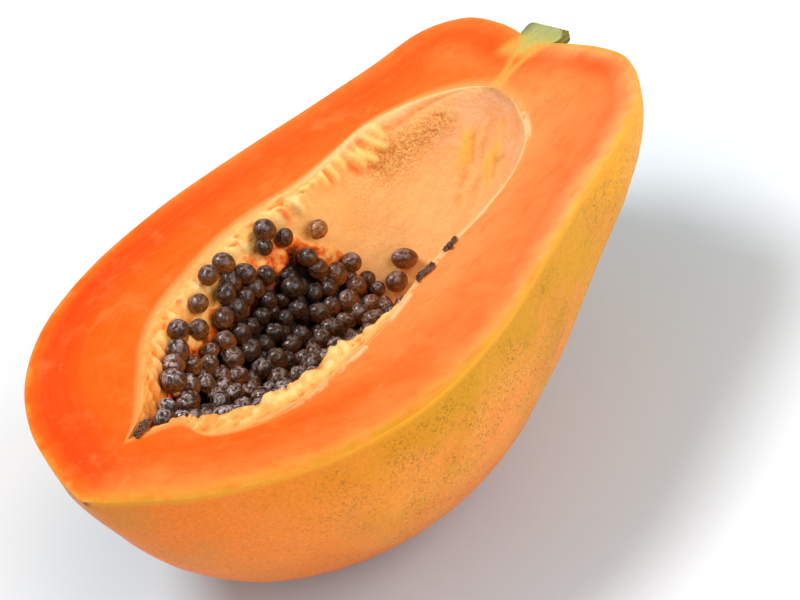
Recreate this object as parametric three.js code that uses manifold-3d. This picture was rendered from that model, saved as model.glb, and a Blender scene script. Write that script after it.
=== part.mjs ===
// Half of a ripe papaya, cut lengthways and lying on its skin with the cut face up.
// The seed pile fills the blossom half of the cavity, and the stem stub is halved with the fruit.
// Millimetres. +X points to the stem, +Y to the fuller side, +Z up. The floor is at z = 0.
import * as THREE from 'three';
import { mergeVertices } from 'three/addons/utils/BufferGeometryUtils.js';
import Module from 'manifold-3d';

const wasm = await Module();
wasm.setup();

// ---- Driving dimensions ------------------------------------------------------------------

// Outline of the cut face, from the blossom tip to the foot of the stem, as [x, y].
const OUTLINE_LEFT = [
  [-107.5, 0], [-103.5, 15], [-94.5, 36.5], [-80, 55], [-60, 67.5],
  [-35, 72.3], [-8, 70.6], [18, 64.5], [44, 56.8], [68, 50],
  [88, 45.3], [98.5, 35], [99.6, 21], [97, 9], [96, 0],
];
const OUTLINE_RIGHT = [
  [-107.5, 0], [-102.6, -11.5], [-93, -29.5], [-78.5, -46.5], [-60.5, -60.2],
  [-38, -68.7], [-10, -69], [17, -63], [43, -56.6], [68, -51.3],
  [87, -43], [97.5, -30.5], [99.4, -19], [98, -8], [96, 0],
];
// Depth of the skin below the cut face, at the same stations.
const BELLY_DEPTH = [0, 17, 39, 57.5, 70.5, 78.5, 80.5, 75, 63, 49.5, 37, 27, 17, 7.5, 0];
const LOBE_COUNT = 5; // faint lengthways lobes of the fruit
const LOBE_RELIEF = 0.012; // height of a lobe as a share of the radius
const CUT_HEIGHT = 80.4; // height of the cut face above the floor
const FLOOR_Z = 0; // the belly is pressed flat where it would pass below this

// Rim of the seed cavity in the cut face, from the blossom point to the stem end, as [x, y].
const CAVITY_LEFT = [
  [-85, 5], [-76, 9.8], [-66, 19], [-54, 29.8], [-41, 36.6],
  [-26, 39.2], [-11, 40.3], [3, 38], [16, 33.8], [30, 32.4],
  [44, 31.6], [56, 26], [66, 17.6], [71.8, 8.5], [73.2, 0],
];
const CAVITY_RIGHT = [
  [-85, 5], [-80, 1], [-73.6, -5], [-74, -16], [-66, -26.3],
  [-53, -33.2], [-37, -35.5], [-20, -35.5], [-5, -33.6], [11, -32.4],
  [27, -32.6], [43, -30.2], [57, -24], [68, -11.5], [73.2, 0],
];
// Deepest line of the cavity, as [x, y, depth].
const CAVITY_FLOOR = [
  [-85, 5, 0], [-79, 5.5, 7], [-71, 6, 16], [-61, 6, 26], [-47, 5.5, 36],
  [-31, 4, 43], [-13, 3, 46], [5, 2.5, 45], [21, 2, 41], [36, 1.5, 35],
  [49, 1, 28], [60, 0.5, 19.5], [67.5, 0.5, 11], [72, 0, 4.5], [73.2, 0, 0],
];
// Shelf of lining inside the rim: broad in the seed half, narrow towards the stem.
const SHELF_LEFT = { width: 7, slope: 0.12, narrow: 0.8, from: 0.52, to: 0.66 };
const SHELF_RIGHT = { width: 12, slope: 0.34, narrow: 0.85, from: 0.34, to: 0.56 };
const SHELF_EDGE = 0.8; // place across the cavity where the shelf meets the wall
const SHELF_MAX_SHARE = 0.34; // most of the half width that a shelf may take
const SHELF_MAX_DROP = 0.4; // most of the depth that a shelf may fall
const WALL_FULLNESS = 2.2; // how square the bowl below the shelf is

// Placental ridges in the lining: place across the cavity (-1 to 1), half width, height, ends.
const RIDGES = [
  { across: 0.84, halfWidth: 0.09, height: 1.1, from: 0.42, to: 0.86 },
  { across: 0.31, halfWidth: 0.06, height: 1, from: 0.7, to: 0.87 },
  { across: -0.06, halfWidth: 0.06, height: 0.9, from: 0.74, to: 0.87 },
  { across: -0.66, halfWidth: 0.1, height: 0.9, from: 0.5, to: 0.94 },
];
const RIDGE_FADE = 0.08; // length over which a ridge rises at each end
const RIDGE_SETBACK = 4; // depth below the cut face at which ridges reach full height

// Stem stub, as rings of [x, y of centre, radius].
const STEM_RINGS = [
  [86.5, 6, 0.7], [89.5, 5.7, 2], [93, 5.2, 4], [97, 4.3, 6.9],
  [99.5, 3.7, 7.5], [101.8, 3.4, 7.6], [102.8, 3.4, 6.9],
];
const STEM_SIDES = 20;
const FIT_GAP = 0.3; // clearance between separate pieces
const TINY = 1e-9; // keeps divisions defined where the cavity closes

// Seed pile. Its edges are given across the cavity at even steps from blossom to stem.
const PILE_START = 0.06;
const PILE_END = 0.56;
const PILE_LEFT_EDGE = [0.45, 0.62, 0.68, 0.73, 0.76, 0.79, 0.81, 0.79, 0.6];
const PILE_RIGHT_EDGE = [-0.3, -0.8, -0.74, -0.76, -0.77, -0.77, -0.77, -0.74, -0.45];
const PILE_FILL = 0.3; // thickness of the pile's core as a share of the cavity's depth there
const PILE_TAPER = 0.6; // how soon the core thins out towards both ends
const CORE_EDGE = 2; // height of the core over the lining at its edge
const CORE_STEPS_ALONG = 12;
const CORE_STEPS_ACROSS = 10;
const ROOM_LIFT = 1; // the pile keeps this far over the lining
const ROOM_HEIGHT = 90;

const SEED_RADIUS = 3.15;
const SEED_SPREAD = 0.14; // largest change of a seed's radius, as a share
const SEED_SQUASH = 0.9; // thickness of a seed as a share of its width
const SEED_CORNERS = 1.1; // corners of the faceted seed stand this much past its radius
const SEED_ROW_STEP = 5.4; // distance between rows of seeds
const SEED_PITCH = 6; // distance between the seeds of a row
const ROW_START = 0.03; // where the rows of seeds start and end along the pile
const ROW_END = 0.98;
const SEED_JITTER = 1.3; // largest shift of a seed from its place
const SEED_STAND = 2; // height of the seed centres over the core
const SEED_UNEVENNESS = 0.7; // largest change of that height
const SEED_CLOSENESS = 0.72; // smallest gap between centres, as a share of touching
const SEED_KEEP_OUT = 6.5; // radius kept free round a loose seed
const SEED_DRAW = 20261;
const ROW_SHIFT = 0.25; // place of the first seed in a row, in pitches
const LOOSE_LIFT = 0.6; // gap between a loose seed and the lining
const SLOPE_STEP = 0.004; // step over which a surface's slope is measured

// Seeds that lie apart on the lining: place along and across the cavity, radii and turn.
const LOOSE_SEEDS = [
  { name: 'loose_seed_large', along: 0.606, across: 0.325, radii: [4, 3.1, 3], turn: 2.3 },
  { name: 'loose_seed_small', along: 0.573, across: 0.3, radii: [3.4, 3.1, 2.9], turn: 2.7 },
  { name: 'pale_seed', along: 0.536, across: 0.71, radii: [3, 2.8, 2.7], turn: 0.2 },
];
// Scraps of seed coat that the knife left on the cut face: x, y, radii and turn.
const SCRAPS = [
  { name: 'tip_scrap', x: -80.5, y: 3.2, radii: [4, 1.6, 1], turn: 0.35 },
  { name: 'rim_scrap_long', x: -0.8, y: -33.6, radii: [4.2, 1.2, 0.9], turn: -0.15 },
  { name: 'rim_scrap_short', x: 11.6, y: -33, radii: [3.2, 1, 0.8], turn: 0.05 },
];
const LOOSE_SIDES = 8;
const LOOSE_BANDS = 5;

// Mesh steps and tolerances.
const DRAW_FACTOR = 1664525; // the seeded draw's own constants
const DRAW_STEP = 1013904223;
const DRAW_RANGE = 2 ** 32;
const SAME_PLACE = 1e-4; // points closer than this are one corner
const SKIN_STEPS_ALONG = 40;
const SKIN_STEPS_AROUND = 26;
const CAVITY_STEPS_ALONG = 38;
const CAVITY_STEPS_ACROSS = 26;

// ---- Small tools -------------------------------------------------------------------------

function curveThrough(rows) {
  const points = rows.map((row) => new THREE.Vector3(...row));
  const curve = new THREE.CatmullRomCurve3(points, false, 'catmullrom', 0.5);
  return (s) => curve.getPoint(THREE.MathUtils.clamp(s, 0, 1));
}

// Even draws from 0 to 1, the same on every run.
function seededDraw(seed) {
  let state = seed;
  return () => {
    state = (Math.imul(state, DRAW_FACTOR) + DRAW_STEP) >>> 0;
    return state / DRAW_RANGE;
  };
}

function gridOf(steps1, steps2, pointAt) {
  const rows = [];
  for (let i = 0; i <= steps1; i += 1) {
    rows.push([]);
    for (let j = 0; j <= steps2; j += 1) {
      rows[i].push(pointAt(i / steps1, j / steps2));
    }
  }
  return rows;
}

// Adds the grid's faces to the list of triangles, seen from the side given by flip.
function addGrid(triangles, rows, flip) {
  for (let i = 0; i < rows.length - 1; i += 1) {
    for (let j = 0; j < rows[i].length - 1; j += 1) {
      const [a, b] = [rows[i][j], rows[i + 1][j]];
      const [c, d] = [rows[i + 1][j + 1], rows[i][j + 1]];
      triangles.push(flip ? [a, c, b] : [a, b, c], flip ? [a, d, c] : [a, c, d]);
    }
  }
}

function geometryFrom(triangles) {
  const geometry = new THREE.BufferGeometry();
  geometry.setFromPoints(triangles.flat());
  return geometry;
}

function solidFrom(geometry) {
  const bare = geometry.clone();
  bare.deleteAttribute('normal');
  bare.deleteAttribute('uv');
  const merged = mergeVertices(bare, SAME_PLACE);
  const index = merged.getIndex().array;
  const faces = [];
  for (let k = 0; k < index.length; k += 3) {
    const [a, b, c] = [index[k], index[k + 1], index[k + 2]];
    if (a !== b && b !== c && c !== a) {
      faces.push(a, b, c);
    }
  }
  return new wasm.Manifold(new wasm.Mesh({
    numProp: 3,
    vertProperties: merged.getAttribute('position').array,
    triVerts: new Uint32Array(faces),
  }));
}

function geometryOf(solid) {
  const mesh = solid.getMesh();
  const geometry = new THREE.BufferGeometry();
  geometry.setAttribute('position', new THREE.BufferAttribute(mesh.vertProperties, 3));
  geometry.setIndex(new THREE.BufferAttribute(mesh.triVerts, 1));
  geometry.computeVertexNormals();
  return geometry;
}

// The outer body alone, so that pockets sealed by the join are filled.
function largestBody(solid) {
  const bodies = solid.decompose();
  return bodies.reduce((best, body) => (body.volume() > best.volume() ? body : best));
}

// ---- Flesh and skin ----------------------------------------------------------------------

const outlineLeft = curveThrough(OUTLINE_LEFT);
const outlineRight = curveThrough(OUTLINE_RIGHT);
const bellyLine = curveThrough(BELLY_DEPTH.map((depth, i) => [
  (OUTLINE_LEFT[i][0] + OUTLINE_RIGHT[i][0]) / 2, depth,
]));

// s runs from tip to stem; turn runs from the left edge (0) under the belly to the right (1).
function skinPoint(s, turn) {
  const angle = Math.PI * turn;
  const [c, k] = [Math.cos(angle), Math.sin(angle)];
  const edge = turn <= 0.5 ? outlineLeft(s) : outlineRight(s);
  const belly = bellyLine(s);
  const lobe = 1 + LOBE_RELIEF * Math.cos(LOBE_COUNT * (angle - Math.PI / 2)) * k;
  return new THREE.Vector3(
    edge.x * c * c + belly.x * k * k,
    edge.y * Math.abs(c) * lobe,
    Math.max(FLOOR_Z, CUT_HEIGHT - belly.y * k * lobe),
  );
}

const cavityLeft = curveThrough(CAVITY_LEFT);
const cavityRight = curveThrough(CAVITY_RIGHT);
const cavityFloor = curveThrough(CAVITY_FLOOR);

function ridgeHeight(s, across) {
  const inAndOut = (ridge) => THREE.MathUtils.smoothstep(s, ridge.from, ridge.from + RIDGE_FADE)
    * (1 - THREE.MathUtils.smoothstep(s, ridge.to - RIDGE_FADE, ridge.to));
  const hump = (ridge) => Math.exp(-(((across - ridge.across) / ridge.halfWidth) ** 2));
  return RIDGES.reduce((sum, ridge) => sum + ridge.height * inAndOut(ridge) * hump(ridge), 0);
}

// Lining of the cavity. across is -1 at the right rim, 0 on the deepest line, 1 at the left rim.
function liningPoint(s, across) {
  const rim = across >= 0 ? cavityLeft(s) : cavityRight(s);
  const shelf = across >= 0 ? SHELF_LEFT : SHELF_RIGHT;
  const floor = cavityFloor(s);
  const halfWidth = Math.hypot(rim.x - floor.x, rim.y - floor.y);
  const narrowing = 1 - shelf.narrow * THREE.MathUtils.smoothstep(s, shelf.from, shelf.to);
  const shelfShare = Math.min((shelf.width * narrowing) / (halfWidth + TINY), SHELF_MAX_SHARE);
  const shelfDrop = Math.min(shelf.slope * shelfShare * halfWidth, SHELF_MAX_DROP * floor.z);
  const onWall = Math.max(0, 1 - Math.abs(across) / SHELF_EDGE); // 1 at the deepest line
  const onShelf = Math.min(1, (1 - Math.abs(across)) / (1 - SHELF_EDGE)); // 1 past the shelf
  const inset = shelfShare * onShelf + (1 - shelfShare) * onWall;
  const depth = shelfDrop * onShelf + (floor.z - shelfDrop) * (1 - (1 - onWall) ** WALL_FULLNESS);
  const rise = ridgeHeight(s, across) * Math.min(1, depth / RIDGE_SETBACK);
  return new THREE.Vector3(
    THREE.MathUtils.lerp(rim.x, floor.x, inset),
    THREE.MathUtils.lerp(rim.y, floor.y, inset),
    CUT_HEIGHT - depth + rise,
  );
}

// Flat ring of flesh between the outline and the rim of the cavity.
function addCutFace(triangles, skin, lining) {
  const ends = (rows) => {
    const left = rows.map((row) => row[0]);
    const right = rows.map((row) => row[row.length - 1]);
    return [...left, ...right.slice(1, -1).reverse()];
  };
  const outline = ends(skin);
  const rim = ends(lining);
  const flat = (points) => points.map((p) => new THREE.Vector2(p.x, p.y));
  const faces = THREE.ShapeUtils.triangulateShape(flat(outline), [flat(rim)]);
  const corners = [...outline, ...rim];
  for (const face of faces) {
    const [a, b, c] = face.map((k) => corners[k]);
    const facesUp = (b.x - a.x) * (c.y - a.y) - (b.y - a.y) * (c.x - a.x) > 0;
    triangles.push(facesUp ? [a, b, c] : [a, c, b]);
  }
}

function liningGrid(lift) {
  return gridOf(CAVITY_STEPS_ALONG, CAVITY_STEPS_ACROSS, (s, share) => {
    const point = liningPoint(s, 1 - 2 * share);
    point.z += lift;
    return point;
  });
}

function fruitSolid() {
  const skin = gridOf(SKIN_STEPS_ALONG, SKIN_STEPS_AROUND, skinPoint);
  const lining = liningGrid(0);
  const triangles = [];
  addGrid(triangles, skin, false);
  addGrid(triangles, lining, true);
  addCutFace(triangles, skin, lining);
  return solidFrom(geometryFrom(triangles));
}

// ---- Stem --------------------------------------------------------------------------------

function stemRod(grow) {
  const first = STEM_RINGS[0];
  const last = STEM_RINGS[STEM_RINGS.length - 1];
  const stations = [
    [first[0] - grow, first[1], 0],
    ...STEM_RINGS.map(([x, y, radius]) => [x, y, radius + grow]),
    [last[0] + grow, last[1], 0],
  ];
  const rings = stations.map(([x, y, radius]) => {
    const ring = [];
    for (let j = 0; j <= STEM_SIDES; j += 1) {
      const angle = (2 * Math.PI * (j % STEM_SIDES)) / STEM_SIDES;
      ring.push(new THREE.Vector3(
        x,
        y + radius * Math.cos(angle),
        CUT_HEIGHT + radius * Math.sin(angle),
      ));
    }
    return ring;
  });
  const triangles = [];
  addGrid(triangles, rings, true);
  return solidFrom(geometryFrom(triangles));
}

// ---- Seeds -------------------------------------------------------------------------------

// The point at a height above a surface, measured square to it.
function above(surface, a, b, height) {
  const along = surface(a + SLOPE_STEP, b).sub(surface(a - SLOPE_STEP, b));
  const over = surface(a, b + SLOPE_STEP).sub(surface(a, b - SLOPE_STEP));
  return surface(a, b).addScaledVector(along.cross(over).normalize(), height);
}

const leftEdge = curveThrough(PILE_LEFT_EDGE.map((across) => [across, 0]));
const rightEdge = curveThrough(PILE_RIGHT_EDGE.map((across) => [across, 0]));

// u runs from the blossom end of the pile to its stem end, v from its right to its left edge.
function underPile(u, v) {
  const s = THREE.MathUtils.lerp(PILE_START, PILE_END, u);
  return liningPoint(s, THREE.MathUtils.lerp(rightEdge(u).x, leftEdge(u).x, v));
}

function pileThickness(u, v) {
  const depth = CUT_HEIGHT - underPile(u, v).z;
  return PILE_FILL * depth * Math.max(0, Math.sin(Math.PI * u)) ** PILE_TAPER;
}

// Top of the pile's core, on which the seeds lie.
function coreTop(u, v) {
  const point = underPile(u, v);
  point.z += CORE_EDGE + pileThickness(u, v);
  return point;
}

// The room over the lining that the seeds must stay in.
function seedRoom() {
  const floor = liningGrid(ROOM_LIFT);
  const lid = liningGrid(ROOM_HEIGHT);
  const side = (j) => [lid.map((row) => row[j]), floor.map((row) => row[j])];
  const triangles = [];
  addGrid(triangles, floor, false);
  addGrid(triangles, lid, true);
  addGrid(triangles, side(0), true);
  addGrid(triangles, side(CAVITY_STEPS_ACROSS), false);
  return solidFrom(geometryFrom(triangles));
}

function coreSolid() {
  const bottom = gridOf(CORE_STEPS_ALONG, CORE_STEPS_ACROSS, underPile);
  const top = gridOf(CORE_STEPS_ALONG, CORE_STEPS_ACROSS, coreTop);
  const triangles = [];
  addGrid(triangles, bottom, true);
  addGrid(triangles, top, false);
  const column = (rows, j) => rows.map((row) => row[j]);
  addGrid(triangles, [top[0], bottom[0]], true);
  addGrid(triangles, [top.at(-1), bottom.at(-1)], false);
  addGrid(triangles, [column(top, 0), column(bottom, 0)], false);
  addGrid(triangles, [column(top, CORE_STEPS_ACROSS), column(bottom, CORE_STEPS_ACROSS)], true);
  return solidFrom(geometryFrom(triangles));
}

function looseCentre({ along, across, radii }) {
  return above(liningPoint, along, across, radii[2] + LOOSE_LIFT);
}

// Millimetres along and across the pile for each unit of u and v.
function lengthPerU(u, v) {
  return coreTop(u - SLOPE_STEP, v).distanceTo(coreTop(u + SLOPE_STEP, v)) / (2 * SLOPE_STEP);
}

function lengthPerV(u, v) {
  return coreTop(u, v - SLOPE_STEP).distanceTo(coreTop(u, v + SLOPE_STEP)) / (2 * SLOPE_STEP);
}

// Seeds lie in loose rows across the pile, every other row shifted, each a little out of place.
function scatterSeeds() {
  const draw = seededDraw(SEED_DRAW);
  const offset = (size) => size * (2 * draw() - 1);
  const placed = LOOSE_SEEDS.map((seed) => ({ centre: looseCentre(seed), radius: SEED_KEEP_OUT }));
  let shift = ROW_SHIFT;
  for (let row = ROW_START; row < ROW_END; row += SEED_ROW_STEP / lengthPerU(row, 0.5)) {
    const start = (shift * SEED_PITCH) / lengthPerV(row, 0);
    for (let place = start; place < 1; place += SEED_PITCH / lengthPerV(row, place)) {
      const u = row + offset(SEED_JITTER) / lengthPerU(row, place);
      const v = place + offset(SEED_JITTER) / lengthPerV(row, place);
      const radius = SEED_RADIUS * (1 + offset(SEED_SPREAD));
      const centre = above(coreTop, u, v, SEED_STAND + offset(SEED_UNEVENNESS));
      const crowded = placed.some((seed) => (
        seed.centre.distanceTo(centre) < SEED_CLOSENESS * (seed.radius + radius)
      ));
      if (!crowded) {
        placed.push({ centre, radius });
      }
    }
    shift = 1 - shift;
  }
  return placed.slice(LOOSE_SEEDS.length);
}

function seedPile() {
  const draw = seededDraw(SEED_DRAW + 1);
  const seeds = scatterSeeds().map(({ centre, radius }) => {
    const shape = new THREE.IcosahedronGeometry(SEED_CORNERS * radius).scale(1, 1, SEED_SQUASH);
    shape.rotateX(Math.PI * draw()).rotateZ(2 * Math.PI * draw());
    return solidFrom(shape.translate(centre.x, centre.y, centre.z));
  });
  const pile = seeds.reduce((sum, seed) => sum.add(seed), coreSolid()).intersect(seedRoom());
  const nests = LOOSE_SEEDS.map((seed) => solidFrom(looseSeed(seed, FIT_GAP)));
  return largestBody(nests.reduce((rest, nest) => rest.subtract(nest), pile));
}

// A seed that lies apart, its surface moved out by grow.
function looseSeed({ along, across, radii, turn }, grow) {
  const centre = looseCentre({ along, across, radii });
  const facing = above(liningPoint, along, across, 1).sub(liningPoint(along, across));
  const tilt = new THREE.Quaternion().setFromUnitVectors(new THREE.Vector3(0, 0, 1), facing);
  const shape = new THREE.SphereGeometry(1, LOOSE_SIDES, LOOSE_BANDS);
  shape.scale(...radii.map((radius) => radius + grow)).rotateZ(turn).applyQuaternion(tilt);
  return shape.translate(centre.x, centre.y, centre.z);
}

function scrap({ x, y, radii, turn }) {
  const shape = new THREE.SphereGeometry(1, LOOSE_SIDES, LOOSE_BANDS).scale(...radii);
  return shape.rotateZ(turn).translate(x, y, CUT_HEIGHT + radii[2] + FIT_GAP);
}

// ---- Assembly ----------------------------------------------------------------------------

function material(color, roughness) {
  return new THREE.MeshStandardMaterial({ color, roughness, metalness: 0 });
}

const FLESH = material(0xf4792b, 0.45);
const STEM = material(0x9fae5c, 0.6);
const SEED = material(0x2a1a14, 0.3);
const PALE_SEED = material(0x8a5a34, 0.35);

const half = new THREE.Group();

function addPiece(name, geometry, finish) {
  const mesh = new THREE.Mesh(geometry, finish);
  mesh.name = name;
  half.add(mesh);
}

const keepBelowCut = (solid) => solid.trimByPlane([0, 0, -1], -CUT_HEIGHT);

addPiece('fruit_half', geometryOf(fruitSolid().subtract(stemRod(FIT_GAP))), FLESH);
addPiece('stem', geometryOf(keepBelowCut(stemRod(0))), STEM);
addPiece('seeds', geometryOf(seedPile()), SEED);
for (const seed of LOOSE_SEEDS) {
  addPiece(seed.name, looseSeed(seed, 0), seed.name === 'pale_seed' ? PALE_SEED : SEED);
}
for (const piece of SCRAPS) {
  addPiece(piece.name, scrap(piece), SEED);
}

// The origin is at the middle of the footprint, on the floor.
const extent = new THREE.Box3().setFromObject(half);
const middle = extent.getCenter(new THREE.Vector3());
half.position.set(-middle.x, -middle.y, -extent.min.z);

export default half;
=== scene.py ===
"""Half of a ripe papaya, cut face up: the looks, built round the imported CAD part."""

import math

import bmesh
import bpy
import numpy as np
from mathutils import Matrix, Vector, kdtree, noise


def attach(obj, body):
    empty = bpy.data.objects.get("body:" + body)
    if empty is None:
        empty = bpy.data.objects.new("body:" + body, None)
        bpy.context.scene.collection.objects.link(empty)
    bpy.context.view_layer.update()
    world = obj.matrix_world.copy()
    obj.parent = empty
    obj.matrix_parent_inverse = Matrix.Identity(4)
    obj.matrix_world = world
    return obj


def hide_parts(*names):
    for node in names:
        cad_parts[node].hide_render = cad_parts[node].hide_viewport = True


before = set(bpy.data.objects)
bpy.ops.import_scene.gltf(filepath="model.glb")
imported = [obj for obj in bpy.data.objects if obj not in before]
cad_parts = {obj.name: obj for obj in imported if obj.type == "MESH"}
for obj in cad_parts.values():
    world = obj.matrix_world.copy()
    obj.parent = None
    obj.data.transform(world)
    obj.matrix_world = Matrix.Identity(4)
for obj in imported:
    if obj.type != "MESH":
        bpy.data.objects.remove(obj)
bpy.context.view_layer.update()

# ---- Shape, in millimetres, from the CAD source ----

FRAME_SHIFT = np.array([2.35, -1.354, 0.0])  # from the source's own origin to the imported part's
MM = 0.001

# Skin: outline of the cut from tip to stem as [x, y], and depth of the belly below it.
OUTLINE_LEFT = [
    [-107.5, 0], [-103.5, 15], [-94.5, 36.5], [-80, 55], [-60, 67.5],
    [-35, 72.3], [-8, 70.6], [18, 64.5], [44, 56.8], [68, 50],
    [88, 45.3], [98.5, 35], [99.6, 21], [97, 9], [96, 0],
]
OUTLINE_RIGHT = [
    [-107.5, 0], [-102.6, -11.5], [-93, -29.5], [-78.5, -46.5], [-60.5, -60.2],
    [-38, -68.7], [-10, -69], [17, -63], [43, -56.6], [68, -51.3],
    [87, -43], [97.5, -30.5], [99.4, -19], [98, -8], [96, 0],
]
BELLY_DEPTH = [0, 17, 39, 57.5, 70.5, 78.5, 80.5, 75, 63, 49.5, 37, 27, 17, 7.5, 0]
LOBE_COUNT = 5
LOBE_RELIEF = 0.012
CUT_HEIGHT = 80.4

# Cavity: its rim from tip to stem as [x, y], and its deepest line as [x, y, depth].
CAVITY_LEFT = [
    [-85, 5], [-76, 9.8], [-66, 19], [-54, 29.8], [-41, 36.6],
    [-26, 39.2], [-11, 40.3], [3, 38], [16, 33.8], [30, 32.4],
    [44, 31.6], [56, 26], [66, 17.6], [71.8, 8.5], [73.2, 0],
]
CAVITY_RIGHT = [
    [-85, 5], [-80, 1], [-73.6, -5], [-74, -16], [-66, -26.3],
    [-53, -33.2], [-37, -35.5], [-20, -35.5], [-5, -33.6], [11, -32.4],
    [27, -32.6], [43, -30.2], [57, -24], [68, -11.5], [73.2, 0],
]
CAVITY_FLOOR = [
    [-85, 5, 0], [-79, 5.5, 7], [-71, 6, 16], [-61, 6, 26], [-47, 5.5, 36],
    [-31, 4, 43], [-13, 3, 46], [5, 2.5, 45], [21, 2, 41], [36, 1.5, 35],
    [49, 1, 28], [60, 0.5, 19.5], [67.5, 0.5, 11], [72, 0, 4.5], [73.2, 0, 0],
]

# Shelf inside the rim: width, slope, and how much it narrows between two places of s.
SHELF_LEFT = {"width": 7, "slope": 0.12, "narrow": 0.8, "start": 0.52, "end": 0.66}
SHELF_RIGHT = {"width": 12, "slope": 0.34, "narrow": 0.85, "start": 0.34, "end": 0.56}
SHELF_EDGE = 0.8
SHELF_MAX_SHARE = 0.34
SHELF_MAX_DROP = 0.4
WALL_FULLNESS = 2.2

STEM_RINGS = [  # stations of the halved stem, as [x, y, radius]
    [86.5, 6, 0.7], [89.5, 5.7, 2], [93, 5.2, 4], [97, 4.3, 6.9],
    [99.5, 3.7, 7.5], [101.8, 3.4, 7.6], [102.8, 3.4, 6.9],
]

# Pile of seeds: where it starts and ends in s, and its edges in across from tip to stem.
PILE_START = 0.06
PILE_END = 0.56
PILE_LEFT_EDGE = [0.45, 0.62, 0.68, 0.73, 0.76, 0.79, 0.81, 0.79, 0.6]
PILE_RIGHT_EDGE = [-0.3, -0.8, -0.74, -0.76, -0.77, -0.77, -0.77, -0.74, -0.45]
PILE_FILL = 0.3
PILE_TAPER = 0.6
CORE_EDGE = 2

# Seeds of the pile: their rows in u, and how much they vary.
SEED_ROW_STEP = 5.4
SEED_PITCH = 6
SEED_ROWS = (0.03, 0.98)
SEED_SPREAD = 0.14
SEED_JITTER = 1.3
SEED_UNEVENNESS = 0.7
SEED_KEEP_OUT = 6.5
SEED_DRAW = 20261
TOP_LAYER = {"stand": 2, "radius_mean": 3.15, "pitch": SEED_PITCH, "closeness": 0.72}
SLOPE_STEP = 0.004
TINY = 1e-9

# Loose seeds lie on the lining at (s, across), scraps on the cut at (x, y).
LOOSE_SEEDS = [
    {"name": "loose_seed_large", "at": (0.606, 0.325), "radii": (4, 3.1, 3), "turn": 2.3},
    {"name": "loose_seed_small", "at": (0.573, 0.3), "radii": (3.4, 3.1, 2.9), "turn": 2.7},
    {"name": "pale_seed", "at": (0.536, 0.71), "radii": (3, 2.8, 2.7), "turn": 0.2},
]
LOOSE_LIFT = 0.6
SCRAPS = [
    {"name": "tip_scrap", "at": (-80.5, 3.2), "radii": (4, 1.6, 1), "turn": 0.35},
    {"name": "rim_scrap_long", "at": (-0.8, -33.6), "radii": (4.2, 1.2, 0.9), "turn": -0.15},
    {"name": "rim_scrap_short", "at": (11.6, -33), "radii": (3.2, 1, 0.8), "turn": 0.05},
]
SCRAP_FLAKES = 4

# What only the looks have: fine relief, and more seeds under those of the CAD part.
BODY_STEPS = 260  # steps from tip to stem, shared by skin, cut face and lining
SKIN_STEPS = 110
CUT_STEPS = 26
LINING_STEPS = 150
BED_STEPS = (160, 120)  # along and over
STEM_STEPS = (70, 60, 40)  # along, round the bark and over the cut face
OUTLINE_POINTS = 1200
SKIN, FLESH, LINING = range(3)  # material slots of the fruit
EDGE_ROUND = 0.3  # how far the knife edge of the peel is worn down
RIM_ROUND = 0.6 * EDGE_ROUND  # the same at the rim of the cavity
CUT_SUNK = 0.05  # the cut lies at least this far below its height
TOOTH_PITCH = 3.4  # spacing of the teeth on the torn shelf
BANK_HEIGHT = 1.9  # mean rise of the inner edge of the right shelf
SEED_DETAIL = 4  # icosphere level of a seed in the pile
LOOSE_DETAIL = 5
UNDER_LAYER = {"stand": 0.2, "radius_mean": 2.8, "pitch": 3.4, "closeness": 0.62}


# ---- Curves and surfaces ----

def curve_through(stations):
    """A Catmull-Rom curve; its places run from 0 to 1."""
    points = np.asarray(stations, float)
    if points.ndim == 1:
        points = points[:, None]
    spans = len(points) - 1
    before = 2 * points[:1] - points[1:2]
    after = 2 * points[-1:] - points[-2:-1]
    ext = np.vstack([before, points, after])

    def at(s):
        place = np.clip(np.asarray(s, float), 0, 1) * spans
        i = np.minimum(np.floor(place).astype(int), spans - 1)
        t = (place - i)[..., None]
        a, b, c, d = ext[i], ext[i + 1], ext[i + 2], ext[i + 3]
        slope = (c - a) * t
        bend = (2 * a - 5 * b + 4 * c - d) * t**2
        twist = (3 * b - a - 3 * c + d) * t**3
        return (2 * b + slope + bend + twist) / 2

    return at


def smooth(x, low, high):
    t = np.clip((np.asarray(x, float) - low) / (high - low), 0, 1)
    return t * t * (3 - 2 * t)


def hump(x, middle, half_width):
    return np.exp(-(((np.asarray(x, float) - middle) / half_width) ** 2))


def grid_of(*coordinates):
    return np.stack(np.broadcast_arrays(*coordinates), -1)


outline_left = curve_through(OUTLINE_LEFT)
outline_right = curve_through(OUTLINE_RIGHT)
belly_line = curve_through([
    [(left[0] + right[0]) / 2, depth]
    for left, right, depth in zip(OUTLINE_LEFT, OUTLINE_RIGHT, BELLY_DEPTH)
])
cavity_left = curve_through(CAVITY_LEFT)
cavity_right = curve_through(CAVITY_RIGHT)
cavity_floor = curve_through(CAVITY_FLOOR)
pile_left = curve_through(PILE_LEFT_EDGE)
pile_right = curve_through(PILE_RIGHT_EDGE)


def skin_point(s, turn):
    """Skin: s from tip to stem, turn from the left edge (0) under the belly to the right (1)."""
    s, turn = np.broadcast_arrays(s, turn)
    angle = np.pi * turn
    c, k = np.cos(angle), np.sin(angle)
    edge = np.where((turn <= 0.5)[..., None], outline_left(s), outline_right(s))
    belly = belly_line(s)
    lobe = 1 + LOBE_RELIEF * np.cos(LOBE_COUNT * (angle - np.pi / 2)) * k
    x = edge[..., 0] * c**2 + belly[..., 0] * k**2
    y = edge[..., 1] * np.abs(c) * lobe
    z = np.maximum(0, CUT_HEIGHT - belly[..., 1] * k * lobe)
    return grid_of(x, y, z)


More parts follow.
